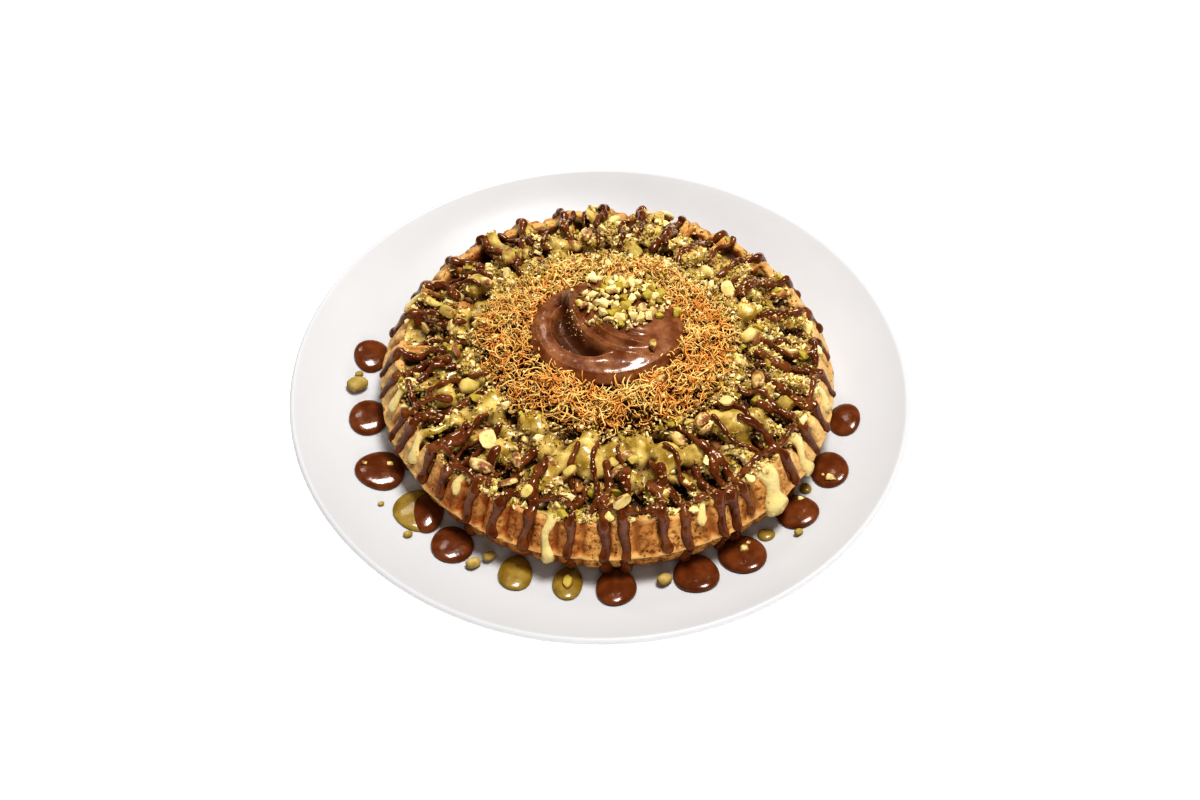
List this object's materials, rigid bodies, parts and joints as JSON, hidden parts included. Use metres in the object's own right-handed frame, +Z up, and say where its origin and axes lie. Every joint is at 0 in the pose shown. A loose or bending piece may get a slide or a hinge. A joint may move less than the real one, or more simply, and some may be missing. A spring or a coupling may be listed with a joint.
{
  "type": "dubai chocolate waffle",
  "caption": "Round waffle on a white coupe plate, topped with pistachio cream, shredded pastry, a chocolate swirl and chopped pistachios.",
  "frame": {"origin": "on the table, under the middle of the plate's foot ring", "axes": "+Z up, -Y towards the front, from where the picture looks down on it, +X to the right"},
  "size_m": [0.27, 0.27, 0.0565],
  "materials": {
    "porcelain": "gloss",
    "baked_batter": "baked, browned at the edges",
    "pistachio_cream": "glossy sauce",
    "shredded_pastry": "fried shreds",
    "chocolate": "glossy sauce",
    "pistachio": "chopped kernels"
  },
  "bodies": {
    "root": {"plate": "porcelain", "waffle": "baked_batter", "pistachio_cream": "pistachio_cream", "kataifi_nest": "shredded_pastry", "chocolate_swirl": "chocolate", "chocolate_drop_1": "chocolate", "chocolate_drop_2": "chocolate", "chocolate_drop_3": "chocolate", "chocolate_drop_4": "chocolate", "chocolate_drop_5": "chocolate", "chocolate_drop_6": "chocolate", "chocolate_drop_7": "chocolate", "chocolate_drop_8": "chocolate", "chocolate_drop_9": "chocolate", "chocolate_drop_10": "chocolate", "chocolate_drop_11": "chocolate", "cream_drop_1": "pistachio_cream", "cream_drop_2": "pistachio_cream", "cream_drop_3": "pistachio_cream", "cream_drop_4": "pistachio_cream", "cream_crescent": "pistachio_cream", "plate_nut_1": "pistachio", "plate_nut_2": "pistachio", "plate_nut_3": "pistachio", "plate_nut_4": "pistachio", "plate_nut_5": "pistachio", "plate_nut_6": "pistachio", "plate_nut_7": "pistachio", "plate_nut_8": "pistachio"}
  },
  "joints": []
}
